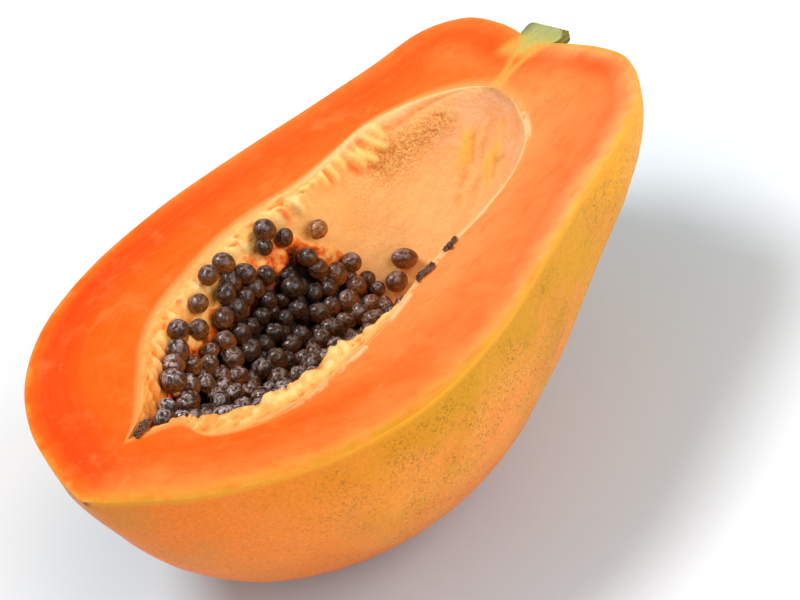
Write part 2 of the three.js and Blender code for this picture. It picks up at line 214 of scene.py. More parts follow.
def lining_point(s, across):
    """Lining: across from -1 at the right rim over 0 on the deepest line to 1 at the left."""
    s, across = np.broadcast_arrays(s, across)
    is_left = across >= 0

    def shelf(key):
        return np.where(is_left, SHELF_LEFT[key], SHELF_RIGHT[key])

    rim = np.where(is_left[..., None], cavity_left(s), cavity_right(s))
    floor = cavity_floor(s)
    half_width = np.linalg.norm(rim - floor[..., :2], axis=-1)
    narrowing = 1 - shelf("narrow") * smooth(s, shelf("start"), shelf("end"))
    share = np.minimum(shelf("width") * narrowing / (half_width + TINY), SHELF_MAX_SHARE)
    drop = np.minimum(shelf("slope") * share * half_width, SHELF_MAX_DROP * floor[..., 2])
    on_wall = np.maximum(0, 1 - np.abs(across) / SHELF_EDGE)
    on_shelf = np.minimum(1, (1 - np.abs(across)) / (1 - SHELF_EDGE))
    inset = share * on_shelf + (1 - share) * on_wall
    bowl = 1 - (1 - on_wall) ** WALL_FULLNESS
    depth = drop * on_shelf + (floor[..., 2] - drop) * bowl
    flat = rim + (floor[..., :2] - rim) * inset[..., None]
    return np.concatenate([flat, (CUT_HEIGHT - depth)[..., None]], -1)


def under_pile(u, v):
    """Lining under the pile: u from its tip end to its stem end, v from right to left."""
    u, v = np.broadcast_arrays(u, v)
    s = PILE_START + (PILE_END - PILE_START) * u
    right, left = pile_right(u)[..., 0], pile_left(u)[..., 0]
    return lining_point(s, right + (left - right) * v)


def core_top(u, v):
    """Top of the pile's core, on which the seeds stand."""
    point = under_pile(u, v)
    bulge = np.maximum(0, np.sin(np.pi * np.clip(u, 0, 1))) ** PILE_TAPER
    point[..., 2] += CORE_EDGE + PILE_FILL * (CUT_HEIGHT - point[..., 2]) * bulge
    return point


def slopes(surface, a, b):
    """Differences of a surface along and over it, between a step before and a step after."""
    along = surface(a + SLOPE_STEP, b) - surface(a - SLOPE_STEP, b)
    over = surface(a, b + SLOPE_STEP) - surface(a, b - SLOPE_STEP)
    return along, over


def above(surface, a, b, height):
    """The point at a height above a surface, measured square to it."""
    up = np.cross(*slopes(surface, a, b))
    up /= np.linalg.norm(up, axis=-1, keepdims=True)
    return surface(a, b) + up * height


def rows(steps):
    return np.linspace(0, 1, steps + 1)[:, None]


def columns(steps, start=0, end=1):
    return np.linspace(start, end, steps + 1)[None, :]


# ---- Small tools ----

def seeded_draw(seed):
    state = seed

    def draw():
        nonlocal state
        state = (state * 1664525 + 1013904223) % 2**32
        return state / 2**32

    return draw


def lumps(points, size, shift=0.0):
    """Smooth noise from about -1 to 1 at each point, with lumps of that size in millimetres."""
    scaled = np.asarray(points, float).reshape(-1, 3) / size + shift
    values = [noise.noise(Vector(p)) for p in scaled]
    return np.array(values).reshape(np.shape(points)[:-1])


def grid_normals(grid):
    normals = np.cross(np.gradient(grid, axis=0), np.gradient(grid, axis=1))
    return normals / (np.linalg.norm(normals, axis=-1, keepdims=True) + TINY)


def tone(red, green, blue):
    """A colour from its 8-bit sRGB values, linear, with alpha."""
    def linear(value):
        value /= 255
        return value / 12.92 if value <= 0.04045 else ((value + 0.055) / 1.055) ** 2.4

    return (linear(red), linear(green), linear(blue), 1.0)


def linked(name, data):
    item = bpy.data.objects.new(name, data)
    bpy.context.collection.objects.link(item)
    return item


class Sheets:
    """Collects surfaces into one smooth mesh, each with a material slot and vertex values."""

    def __init__(self, value_names):
        self.points = []
        self.faces = []
        self.slots = []
        self.values = {name: [] for name in value_names}
        self.count = 0

    def put(self, points, faces, slot, **values):
        self.points.append(points)
        self.faces.append(faces + self.count)
        self.slots.append(np.full(len(faces), slot))
        for name, parts in self.values.items():
            parts.append(np.broadcast_to(values.get(name, 0.0), len(points)))
        self.count += len(points)

    def add(self, grid, slot, flip=False, **values):
        """Puts in a grid of points; its values may be given for a row or a column."""
        shape = grid.shape[:2]
        index = np.arange(math.prod(shape)).reshape(shape)
        corners = [index[:-1, :-1], index[1:, :-1], index[1:, 1:], index[:-1, 1:]]
        quads = np.stack([c.ravel() for c in corners], -1)
        spread = {name: np.broadcast_to(given, shape).ravel() for name, given in values.items()}
        self.put(grid.reshape(-1, 3), quads[:, ::-1] if flip else quads, slot, **spread)

    def build(self, name, materials):
        mesh = bpy.data.meshes.new(name)
        placed = (np.vstack(self.points) + FRAME_SHIFT) * MM
        mesh.from_pydata(placed.tolist(), [], np.vstack(self.faces).tolist())
        mesh.polygons.foreach_set("material_index", np.concatenate(self.slots))
        for key, parts in self.values.items():
            layer = mesh.attributes.new(key, "FLOAT", "POINT")
            layer.data.foreach_set("value", np.concatenate(parts).astype(np.float32))
        mesh.validate()
        for item in materials:
            mesh.materials.append(item)
        mesh.shade_smooth()
        return linked(name, mesh)


def belongs(piece, slot, *nodes):
    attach(piece, "root")
    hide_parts(*nodes)


# ---- Material nodes ----

class Finish:
    """One material and short ways to add nodes to it."""

    def __init__(self, name, specular, coat=0.0, coat_roughness=0.3):
        self.material = bpy.data.materials.new(name)
        self.material.use_nodes = True
        self.tree = self.material.node_tree
        self.shader = self.tree.nodes["Principled BSDF"]
        for key, given in (("Specular IOR Level", specular), ("Coat Weight", coat),
                           ("Coat Roughness", coat_roughness)):
            self.shader.inputs[key].default_value = given
        self.place = self.node("TexCoord").outputs["Object"]

    def give(self, socket, source):
        if isinstance(source, bpy.types.NodeSocket):
            self.tree.links.new(source, socket)
        else:
            socket.default_value = source

    def node(self, kind, *sources, **named):
        """A new node, with its first inputs given and others by name."""
        node = self.tree.nodes.new("ShaderNode" + kind)
        for socket, source in zip(node.inputs, sources):
            self.give(socket, source)
        for key, source in named.items():
            self.give(node.inputs[key], source)
        return node

    def value(self, name):
        node = self.node("Attribute")
        node.attribute_name = name
        return node.outputs["Fac"]

    def math(self, operation, *sources):
        node = self.node("Math", *sources)
        node.operation = operation
        return node.outputs[0]

    def times(self, product, *others):
        for other in others:
            product = self.math("MULTIPLY", product, other)
        return product

    def band(self, source, low, high, start=0.0, end=1.0):
        """A smooth step of the source: start at low, end at high."""
        node = self.node("MapRange", source, low, high, start, end)
        node.interpolation_type = "SMOOTHSTEP"
        return node.outputs[0]

    def mix(self, share, first, second):
        node = self.node("Mix", share)
        node.data_type = "RGBA"
        self.give(node.inputs[6], first)
        self.give(node.inputs[7], second)
        return node.outputs[2]

    def ramp(self, source, stops):
        """Colours along the source; each stop is (place, red, green, blue), 8-bit sRGB."""
        node = self.node("ValToRGB", source)
        elements = node.color_ramp.elements
        while len(elements) < len(stops):
            elements.new(0.5)
        for element, (place, *colour) in zip(elements, stops):
            element.position = place
            element.color = tone(*colour)
        return node.outputs[0]

    def stretched(self, scale):
        return self.node("Mapping", self.place, Scale=scale).outputs[0]

    def noise(self, size, detail=3.0, roughness=0.55, distortion=0.0, where=None):
        """Noise from 0 to 1, with lumps of that size: in millimetres, or in units of where."""
        scale = 1 / size if where else 1 / (size * MM)
        node = self.node("TexNoise", where or self.place, Scale=scale, Detail=detail,
                         Roughness=roughness, Distortion=distortion)
        return node.outputs["Fac"]

    def grain(self, along, along_rate, over, over_rate, **look):
        """Noise over two values, drawn out along the one with the lower rate."""
        places = self.times(along, along_rate), self.times(over, over_rate)
        node = self.node("CombineXYZ", *places)
        return self.noise(1.0, where=node.outputs[0], **look)

    def colour(self, source):
        self.base = source
        self.give(self.shader.inputs["Base Color"], source)

    def lay(self, share, red, green, blue):
        """Lays one more colour over that share of the colour so far."""
        self.colour(self.mix(share, self.base, tone(red, green, blue)))

    def rough(self, source):
        self.give(self.shader.inputs["Roughness"], source)

    def bump(self, *layers):
        """Adds bumps; each layer is (height source, distance in millimetres)."""
        normal = None
        for source, distance in layers:
            node = self.node("Bump", Distance=distance * MM, Height=source)
            if normal:
                self.give(node.inputs["Normal"], normal)
            normal = node.outputs[0]
        self.give(self.shader.inputs["Normal"], normal)


# ---- Materials ----

def skin_specks(f, height, along):
    """Specks in drifts, away from the tip, the floor and the knife's edge."""
    where = f.times(
        f.band(height, 0.12, 0.45),
        f.band(along, 0.1, 0.35),
        f.band(height, 0.98, 0.93),
        f.band(f.noise(17, detail=4), 0.37, 0.54),
    )
    small = f.times(
        f.band(f.noise(0.7, detail=1, roughness=0.5), 0.54, 0.68),
        f.band(f.noise(5, detail=3), 0.36, 0.58, 0.35, 1),
    )
    large = f.band(f.noise(1.5, detail=2, roughness=0.6), 0.64, 0.74)
    return f.times(f.math("MAXIMUM", small, large), where)


def skin_material():
    """Ochre at the shoulder of the fruit, salmon below and darker near the floor as painted
    shade, with dark specks in drifts.
    """
    f = Finish("papaya_skin", specular=0.12, coat=0.04, coat_roughness=0.4)
    height, along = f.value("height"), f.value("along")
    drift = f.noise(26, detail=4, distortion=0.4)
    level = f.math("ADD", height, f.band(drift, 0.3, 0.7, -0.14, 0.14))
    # Tones over height: the lowest are darker, as painted shade where the belly meets the floor.
    f.colour(f.ramp(level, [
        (0, 214, 98, 14), (0.25, 230, 118, 40), (0.55, 230, 150, 68), (0.85, 196, 138, 18),
    ]))
    f.lay(f.band(along, 0.42, 0.1, 0, 0.9), 255, 126, 34)
    f.lay(f.band(along, 0.44, 0.74, 0, 0.9), 248, 170, 34)
    green = f.band(f.noise(30, detail=5), 0.44, 0.68, 0, 0.45)
    f.lay(f.times(green, f.band(height, 0.3, 0.75)), 188, 142, 24)
    blush = f.times(
        f.band(f.noise(15, detail=6, roughness=0.6), 0.38, 0.72, 0, 0.75),
        f.band(along, 0.75, 0.45, 0.3, 1),
        f.band(height, 0.95, 0.6, 0.45, 1),
    )
    f.lay(blush, 236, 132, 62)
    dashes = f.noise(1, detail=3, roughness=0.6, where=f.stretched((2000, 800, 800)))
    dashes = f.times(
        f.band(dashes, 0.5, 0.72, 0, 0.5),
        f.band(height, 0.2, 0.7),
        f.band(along, 0.15, 0.42, 0.2, 1),
    )
    f.lay(dashes, 172, 118, 26)
    fine = f.noise(1.1, detail=2, roughness=0.7)
    f.lay(f.band(fine, 0.35, 0.75, 0, 0.35), 190, 112, 18)
    f.lay(f.band(height, 0.965, 0.995, 0, 0.85), 234, 156, 38)
    specks = skin_specks(f, height, along)
    f.lay(f.times(specks, 0.55), 126, 96, 18)
    f.lay(f.value("scar"), 48, 32, 20)
    f.rough(f.band(fine, 0.2, 0.8, 0.42, 0.58))
    f.bump((drift, 0.8), (fine, 0.12), (specks, 0.15))
    return f.material


# Tones of the flesh from the peel inwards, each (depth, red, green, blue), for both sides of
# the cut in its tip half and its stem half.
FAR_TIP = [
    (0, 234, 147, 50), (0.03, 228, 98, 12), (0.1, 226, 66, 0),
    (0.2, 228, 70, 0), (0.33, 233, 93, 4), (0.55, 232, 101, 16),
]
FAR_STEM = [
    (0, 234, 143, 56), (0.04, 232, 112, 38), (0.14, 231, 89, 18),
    (0.24, 231, 91, 16), (0.4, 234, 105, 28), (0.7, 234, 117, 40),
]
NEAR_TIP = [
    (0, 204, 140, 26), (0.05, 234, 143, 54), (0.1, 235, 125, 51),
    (0.2, 234, 107, 34), (0.32, 232, 92, 12), (0.45, 233, 109, 28),
]
NEAR_STEM = [
    (0, 230, 168, 58), (0.03, 236, 168, 92), (0.08, 235, 138, 78),
    (0.13, 233, 117, 57), (0.2, 235, 125, 61), (0.3, 235, 130, 64),
    (0.42, 237, 142, 75), (0.6, 236, 140, 71), (0.8, 232, 113, 44),
]


def flesh_material():
    """Cut flesh: deep orange, redder inside the far peel and paler inside the near one."""
    f = Finish("papaya_flesh", specular=0.08, coat=0.03, coat_roughness=0.35)
    along, peel, rim = f.value("along"), f.value("peel"), f.value("rim")
    far_side, stem_half = f.value("far_side"), f.value("stem_half")
    inside = f.math("ADD", peel, f.band(f.noise(8, detail=3), 0.3, 0.7, -0.012, 0.012))
    far = f.mix(stem_half, f.ramp(inside, FAR_TIP), f.ramp(inside, FAR_STEM))
    near = f.mix(stem_half, f.ramp(inside, NEAR_TIP), f.ramp(inside, NEAR_STEM))
    f.colour(f.mix(far_side, near, far))
    f.lay(f.value("stem_end"), 236, 141, 66)
    streaks = f.grain(along, 7, peel, 30, detail=5)
    f.lay(f.band(streaks, 0.4, 0.75, 0, 0.1), 240, 147, 72)
    rays = f.grain(along, 46, peel, 14, detail=4, roughness=0.6, distortion=0.4)
    f.lay(f.band(rays, 0.45, 0.75, 0, 0.3), 230, 77, 2)
    f.lay(f.band(rays, 0.45, 0.25, 0, 0.16), 238, 141, 72)
    mottle = f.noise(12, detail=6, roughness=0.62)
    f.lay(f.band(mottle, 0.5, 0.72, 0, 0.22), 228, 73, 0)
    f.lay(f.band(mottle, 0.49, 0.3, 0, 0.3), 238, 143, 72)
    f.lay(f.times(f.value("blush"), 0.6), 230, 69, 0)
    wide = f.times(rim, f.band(along, 0.7, 0.9, 1, 0.45))
    f.lay(f.band(wide, 0.045, 0, 0, 0.75), 242, 160, 84)
    scuffed = f.times(
        f.band(rim, 0.06, 0.022),
        f.band(mottle, 0.46, 0.53),
        f.band(far_side, 1, 0),
        f.band(along, 0.3, 0.42, 0, 0.85),
    )
    f.lay(scuffed, 248, 196, 142)
    f.lay(f.times(f.value("vein"), 0.8), 234, 173, 76)
    pores = f.noise(0.7, detail=2)
    f.rough(f.band(pores, 0.3, 0.7, 0.42, 0.58))
    f.bump((mottle, 0.5), (rays, 0.35), (pores, 0.08))
    return f.material


def lining_material():
    """Lining of the cavity: pale peach, redder in pits and in a painted shadow round the pegs,
    with a rough speckled patch; its deep and steep parts get painted light.
    """
    f = Finish("papaya_lining", specular=0.1, coat=0.04, coat_roughness=0.35)
    along = f.value("along")
    cloud = f.noise(11, detail=4, distortion=0.3)
    # Paler towards the stem end; the last tones are raised partly as painted light on the steep
    # wall there, which falls in shade.
    f.colour(f.ramp(f.math("ADD", along, f.band(cloud, 0.3, 0.7, -0.1, 0.1)), [
        (0, 248, 140, 54), (0.25, 250, 150, 64), (0.45, 254, 186, 100),
        (0.6, 252, 190, 114), (0.8, 255, 178, 114), (0.95, 255, 197, 148),
    ]))
    # Painted light: the deep part of the cavity is laid paler, against the shade that falls
    # there.
    f.lay(f.times(f.value("painted_light_deep"), 0.85), 250, 191, 122)
    fleck = f.noise(1.8, detail=5, roughness=0.7)
    f.lay(f.band(fleck, 0.45, 0.75, 0, 0.25), 244, 150, 66)
    shelf = f.times(f.value("shelf"), f.band(along, 0.15, 0.5, 0.1, 0.8))
    f.lay(shelf, 250, 186, 104)
    # By the height of the torn lumps: paler on their crests, and orange in the hollows between
    # them as painted shade.
    raised = f.math("ADD", f.value("raised"), f.band(fleck, 0.3, 0.7, 0.14, -0.14))
    pale = f.times(f.band(raised, 0.55, 1, 0, 0.7), f.band(along, 0.1, 0.35, 0.35, 1))
    f.lay(pale, 254, 216, 142)
    f.lay(f.band(raised, 0.44, 0.05, 0, 0.85), 238, 118, 32)
    # The pit colour also fills the rings round the pegs as painted shadow.
    for mark, strength, *colour in (
        ("yellow", 0.75, 252, 190, 66), ("band", 0.6, 248, 184, 108),
        # The crease colour is painted shade along the grooves of the lining.
        ("crease", 0.5, 236, 140, 58), ("pit", 0.9, 228, 98, 16), ("peg", 0.9, 254, 212, 120),
    ):
        f.lay(f.times(f.value(mark), strength), *colour)
    patch = f.value("patch")
    grit = f.noise(0.9, detail=3, roughness=0.7, distortion=0.4)
    rubbed = f.mix(f.band(grit, 0.4, 0.6), tone(212, 112, 32), tone(255, 198, 106))
    f.colour(f.mix(f.times(patch, 0.62), f.base, rubbed))
    # The pale border at the rim is the lining's own; near the stem it is laid fuller, partly as
    # painted light on the shaded steep wall.
    border = f.mix(f.band(along, 0.45, 0.7), tone(244, 166, 92), tone(254, 202, 138))
    wide = f.times(f.value("rim"), f.band(along, 0.6, 0.95, 1, 0.6))
    stem_end = f.band(along, 0.75, 0.9, 0, 0.85)
    patchy = f.math("MAXIMUM", f.band(cloud, 0.4, 0.56, 0.2, 0.9), stem_end)
    f.colour(f.mix(f.times(f.band(wide, 0.07, 0.01), patchy), f.base, border))
    f.rough(f.band(fleck, 0.3, 0.7, 0.42, 0.58))
    f.bump((cloud, 0.3), (fleck, 0.5), (f.times(grit, patch), 0.8))
    return f.material


def pulp_material():
    """The bed between the seeds: near-black in the middle as painted shade between the seeds,
    wet, with orange pulp at the edges.
    """
    f = Finish("seed_bed", specular=0.08, coat=0.05, coat_roughness=0.25)
    clots = f.noise(4, detail=4, roughness=0.6)
    edge = f.math("ADD", f.value("edge"), f.band(clots, 0.3, 0.7, -0.2, 0.2))
    # The darkest stops are painted shade deep between the seeds.
    f.colour(f.ramp(edge, [
        (0, 12, 6, 3), (0.28, 36, 14, 5), (0.45, 150, 60, 14),
        (0.62, 238, 108, 22), (0.85, 252, 188, 104),
    ]))
    f.rough(0.35)
    f.bump((clots, 0.9))
    return f.material


def seed_material(name, dark, brown, amber):
    """Wet seed coat: dark and crumpled, with amber jelly round its lower side and a painted
    highlight on its upward crests.
    """
    f = Finish(name, specular=0.2, coat=0.6, coat_roughness=0.16)
    crumple = f.noise(2, detail=2, roughness=0.55, distortion=1.2)
    raised = f.math("ADD", f.value("crest"), f.band(crumple, 0.35, 0.7, -0.2, 0.2))
    # The lightness value darkens the coat: painted shade for seeds in the pile's middle, and the
    # scraps' own darker tone.
    brightness = f.times(f.band(raised, 0.3, 1), f.value("lit"))
    f.colour(f.mix(brightness, tone(*dark), tone(*brown)))
    jelly = f.times(f.value("jelly"), f.band(crumple, 0.25, 0.65, 0.35, 1))
    f.lay(jelly, *amber)
    folds = f.noise(2.2, detail=2, roughness=0.55, distortion=2.2)
    # Pale mauve patches on the upward crests: a painted highlight.
    bloom = f.times(
        f.value("bloom"), f.band(folds, 0.42, 0.52, 0.1, 1), f.band(raised, 0.3, 0.55),
    )
    f.lay(bloom, 190, 172, 172)
    f.rough(f.band(crumple, 0.3, 0.7, 0.3, 0.5))
    f.bump((crumple, 0.9), (folds, 0.7))
    return f.material


def stem_material():
    """Halved stem: pale green face that turns yellow in the flesh, striped bark at its end."""
    f = Finish("stem_wood", specular=0.12)
    along, over = f.value("along"), f.value("over")
    fibre = f.noise(1, detail=4, where=f.stretched((180, 900, 700)))
    cloud = f.noise(2.5, detail=4, roughness=0.65)
    place = f.math("ADD", along, f.band(cloud, 0.3, 0.7, -0.1, 0.1))
    f.colour(f.ramp(place, [
        (0.1, 228, 172, 80), (0.3, 210, 180, 86), (0.46, 190, 176, 90),
        (0.62, 172, 172, 106), (1, 164, 170, 114),
    ]))
    faded = f.times(f.band(cloud, 0.42, 0.7, 0, 0.5), f.band(along, 0.3, 0.6))
    f.lay(faded, 196, 182, 128)
    fibres = f.times(f.band(fibre, 0.4, 0.75, 0, 0.3), f.band(along, 0.35, 0.7))
    f.lay(fibres, 138, 150, 74)
    side = f.times(f.band(over, 0.45, 0.95, 0, 0.7), f.band(along, 0.4, 0.7))
    f.lay(side, 118, 126, 76)
    face = f.base
    stripes = f.grain(f.value("round"), 26, along, 1.4, detail=3)
    f.colour(f.mix(f.band(stripes, 0.42, 0.62), tone(74, 88, 40), tone(172, 144, 70)))
    f.lay(f.band(along, 0.97, 1, 0, 0.6), 112, 78, 44)
    f.lay(f.band(along, 0.5, 0.3), 238, 164, 70)
    end = f.mix(f.band(cloud, 0.35, 0.65), tone(110, 112, 60), tone(160, 156, 96))
    f.colour(f.mix(f.value("end"), f.base, end))
    f.colour(f.mix(f.value("face"), f.base, face))
    f.rough(0.6)
    f.bump((fibre, 0.2), (stripes, 0.3))
    return f.material


def floor_material():
    """Pale floor, darker and cooler beside the fruit: painted shade there, with a cool tint
    against the orange light the fruit throws back.
    """
    f = Finish("pale_floor", specular=0.2)
    grain = f.noise(60, detail=2)
    pale = f.mix(f.band(grain, 0.3, 0.7), tone(243, 245, 246), tone(246, 248, 249))
    away = f.node("VectorMath", f.stretched((1, 1.4, 1)))
    away.operation = "LENGTH"
    # Painted shade round the fruit: a darker, cooler tone near its middle.
    f.colour(f.mix(f.band(away.outputs["Value"], 0.2, 0.1), pale, tone(208, 222, 230)))
    f.rough(0.7)
    return f.material


# ---- Fruit: skin, cut face, lining ----

def cut_depth(level):
    """How far the knife's slight waves take the cut below its height."""
    waves = 0.12 * lumps(level, 16, 7) + 0.05 * lumps(level * [0.35, 1, 1], 2.2, 3)
    return CUT_SUNK + np.abs(waves)


def skin_sheet():
    s, turn = rows(BODY_STEPS), columns(SKIN_STEPS)
    grid = skin_point(s, turn)
    normals = grid_normals(grid)
    inward = normals * np.sign(normals[..., 2:3])
    off_edge = np.minimum(1, 9 * np.minimum(turn, 1 - turn))
    off_floor = smooth(grid[..., 2], 0, 4)
    relief = 0.45 * lumps(grid, 24) + 0.18 * lumps(grid, 7, 40)
    grid = grid + inward * (relief * off_edge * off_floor)[..., None]
    level = grid * [1, 1, 0] + [0, 0, CUT_HEIGHT]
    grid[..., 2] = np.clip(grid[..., 2], 0, CUT_HEIGHT - EDGE_ROUND - cut_depth(level))
    return grid, s


def outline_tree():
    """Dense points of the cut's outline, for distances in plan."""
    places = np.linspace(0, 1, OUTLINE_POINTS)
    loop = np.vstack([outline_left(places), outline_right(places)])
    tree = kdtree.KDTree(len(loop))
    for i, (x, y) in enumerate(loop):
        tree.insert((x, y, 0), i)
    tree.balance()
    return tree


def distance_to(tree, grid):
    flat = grid.reshape(-1, 3)
    found = [tree.find((x, y, 0))[2] for x, y, _ in flat]
    return np.array(found).reshape(grid.shape[:2])


def off_segment(places, a, b):
    """Distance from each place to the straight line between two points."""
    way = b - a
    t = np.clip(((places - a) @ way) / (way @ way), 0, 1)
    return np.linalg.norm(places - a - t[..., None] * way, axis=-1)


def line_distance(grid, points):
    """Distance in plan from each grid point to a line of points."""
    ends = np.array(points, float)
    return np.min([off_segment(grid[..., :2], a, b) for a, b in zip(ends, ends[1:])], axis=0)


VEINS = [  # pale lines from the stem to the cavity, as [x, y]
    [(88, 6.6), (84, 4.6), (79.9, 3.5), (74.1, 3.0)],
    [(95.5, -1.6), (91.8, 0.4), (86.5, 1.6), (79.3, 1.5), (74.2, 0.7)],
]
STEM_FOOT = [(88.2, 6.6), (92.6, 5.5), (97, 4.3)]  # the stem's axis in the flesh
BLUSHES = [(91, -24, 5, 8), (-88, 26, 6, 12), (-60, -8, 12, 6)]  # x, y, radius along and over
DEPTH_UNIT = 60  # depth in the flesh at which the values "peel" and "rim" reach 1
WORN_AT_PEEL = 0.5  # width of the worn edge, in millimetres
WORN_AT_RIM = 0.7
TIP_SCAR = (-107.4, 0, 79.3)  # dark scar at the tip
TIP_SCAR_WIDTH = 1.5


def cut_values(grid, s, to_peel, to_rim, to_stem):
    vein = sum(0.9 * hump(line_distance(grid, line), 0, 1.0) for line in VEINS)
    halo = 0.9 * smooth(to_stem, 8.5, 4) * smooth(grid[..., 0], 84, 90)
    blush = sum(
        hump(grid[..., 0], x, along) * hump(grid[..., 1], y, over)
        for x, y, along, over in BLUSHES
    )
    return {
        "along": s,
        "peel": np.clip(to_peel / DEPTH_UNIT, 0, 1),
        "rim": np.clip(to_rim / DEPTH_UNIT, 0, 1),
        "far_side": smooth(grid[..., 1], -14, 10),
        "stem_half": smooth(s, 0.3, 0.58),
        "stem_end": 0.75 * smooth(grid[..., 0], 70, 88) * smooth(to_peel, 10, 20),
        "vein": np.clip(np.maximum(vein, halo), 0, 1),
        "blush": np.clip(blush, 0, 1),
    }


def cut_sheet(is_left, tree):
    s = rows(BODY_STEPS)
    share = (1 - np.cos(np.pi * columns(CUT_STEPS))) / 2
    outer = (outline_left if is_left else outline_right)(s[:, 0])[:, None, :]
    inner = (cavity_left if is_left else cavity_right)(s[:, 0])[:, None, :]
    flat = outer + (inner - outer) * share[..., None]
    grid = np.concatenate([flat, np.full(flat.shape[:2] + (1,), CUT_HEIGHT)], -1)
    to_peel = distance_to(tree, grid)
    to_rim = np.linalg.norm(inner - outer, axis=-1) * (1 - share)
    to_stem = line_distance(grid, STEM_FOOT)
    worn = EDGE_ROUND * hump(to_peel, 0, WORN_AT_PEEL) + RIM_ROUND * hump(to_rim, 0, WORN_AT_RIM)
    socket = 0.5 * smooth(to_stem, 7.5, 2) * smooth(grid[..., 0], 94, 98)
    grid[..., 2] -= cut_depth(grid) + worn + socket
    return grid, cut_values(grid, s, to_peel, to_rim, to_stem)


RUN_MM = np.array([158.0, 48.0])  # millimetres for one unit of s and of across

# Details of the lining: short lines, each as (s, across) of both ends, half width and rise.
PEGS = [
    (0.666, 0.764, 0.673, 0.711, 1, 1.3), (0.678, 0.755, 0.691, 0.69, 1, 1.4),
    (0.702, 0.765, 0.716, 0.698, 1, 1.4), (0.721, 0.839, 0.727, 0.747, 1.1, 1.2),
    (0.602, 0.833, 0.602, 0.779, 0.9, 1.1), (0.622, 0.788, 0.624, 0.757, 0.9, 1.1),
    (0.583, 0.85, 0.586, 0.8, 0.9, 1), (0.566, 0.88, 0.57, 0.83, 1, 1.1),
    (0.643, 0.8, 0.647, 0.765, 0.9, 1),
]
PITS = [
    (0.69, 0.775, 0.694, 0.755, 1.1, -0.7), (0.655, 0.735, 0.66, 0.705, 1.2, -0.5),
    (0.673, 0.79, 0.675, 0.77, 0.8, -0.5), (0.612, 0.79, 0.613, 0.76, 0.9, -0.6),
    (0.588, 0.79, 0.577, 0.81, 0.8, -0.5), (0.556, 0.841, 0.56, 0.82, 0.9, -0.5),
    (0.675, 0.69, 0.684, 0.672, 0.8, -0.4), (0.704, 0.7, 0.712, 0.675, 0.9, -0.5),
    (0.424, 0.84, 0.43, 0.81, 0.7, -0.6), (0.402, 0.825, 0.404, 0.8, 0.8, -0.6),
    (0.468, 0.865, 0.472, 0.84, 1.1, -0.5), (0.51, 0.81, 0.512, 0.78, 1, -0.7),
    (0.372, 0.85, 0.376, 0.82, 0.7, -0.5), (0.307, 0.85, 0.31, 0.82, 1, -0.6),
    (0.262, 0.85, 0.264, 0.83, 0.8, -0.5), (0.21, 0.86, 0.214, 0.84, 0.8, -0.5),
    (0.16, 0.86, 0.163, 0.84, 0.7, -0.5), (0.44, 0.88, 0.441, 0.86, 0.5, -0.4),
]
CREASES = [
    (0.826, 0.275, 0.785, 0.179, 0.7, -0.3), (0.757, 0.2, 0.745, 0.195, 1.4, -0.15),
    (0.724, 0.175, 0.716, 0.15, 1.5, -0.15), (0.822, -0.217, 0.801, -0.093, 0.7, -0.3),
    (0.801, -0.093, 0.782, -0.107, 1.2, -0.15), (0.73, 0.75, 0.76, 0.735, 0.7, -0.4),
    (0.76, 0.735, 0.8, 0.742, 0.9, -0.5), (0.8, 0.742, 0.835, 0.755, 0.8, -0.5),
    (0.835, 0.755, 0.88, 0.76, 0.6, -0.3), (0.815, 0.645, 0.818, 0.615, 1.2, -0.4),
]
YELLOWS = [
    (0.82, 0.335, 0.785, 0.265, 3, 0.8), (0.822, -0.088, 0.791, 0.008, 3, 0.7),
    (0.79, 0, 0.77, -0.06, 2, 0.4),
]
BANDS = [(0.85, 0.2, 0.823, 0.178, 2.4, 0.5), (0.823, 0.178, 0.755, 0.089, 2.6, 0.7),
         (0.755, 0.089, 0.69, 0.1, 2.8, 0.6)]
DETAILS = {"peg": PEGS, "pit": PITS, "crease": CREASES, "yellow": YELLOWS, "band": BANDS}
PATCHES = [(0.7, 0.665, 0.735, 0.64, 4, 0), (0.735, 0.64, 0.77, 0.62, 4.6, 0),
           (0.77, 0.62, 0.815, 0.6, 4.4, 0)]
FAINT_PATCHES = [(0.62, 0.66, 0.7, 0.64, 6, 0)]


def marks(s, across, lines):
    """How strongly each place is marked by short lines, and the height that they add."""
    strength = np.zeros(s.shape)
    height = np.zeros(s.shape)
    here = grid_of(s, across) * RUN_MM
    for *places, half_width, rise in lines:
        a, b = np.array(places).reshape(2, 2) * RUN_MM
        mark = hump(off_segment(here, a, b), 0, half_width)
        strength = np.maximum(strength, mark)
        height += rise * mark
    return strength, height


def torn_shelf(s, across, grid, from_rim):
    """Lumps and teeth of the torn lining between the rim and the seeds."""
    place = grid_of(s * RUN_MM[0], across * 8, 0)
    phase = s * RUN_MM[0] / TOOTH_PITCH + 0.9 * lumps(place, 5, 4) + 0.6 * across
    wave = 0.5 + 0.5 * np.cos(2 * np.pi * phase)
    some = (0.3 + 0.7 * smooth(lumps(place, 4, 15), -0.2, 0.3)) * smooth(s, 0.04, 0.18)
    teeth = some * wave * smooth(from_rim, 2.5, 5.5)
    coarse = lumps(grid, 3.2, 9)
    return 1.1 * teeth + coarse + 0.6 * lumps(grid, 1.6, 12)


def right_bank(s, across, from_rim):
    """Uneven rise along the inner edge of the right shelf, which the photo shows wide."""
    place = grid_of(s * RUN_MM[0], across * 12, 0)
    span = smooth(s, 0.1, 0.2) * (1 - smooth(s, 0.45, 0.56))
    rise = BANK_HEIGHT * (1 + 0.9 * lumps(place, 5, 21)) * hump(from_rim, 10.5, 5) * span
    return np.where(across < 0, rise, 0)


def distance_from_rim(grid):
    """Distance over the lining from each point to the nearer rim."""
    steps = np.linalg.norm(np.diff(grid, axis=1), axis=-1)
    run = np.concatenate([np.zeros((len(grid), 1)), np.cumsum(steps, axis=1)], axis=1)
    return np.minimum(run, run[:, -1:] - run)


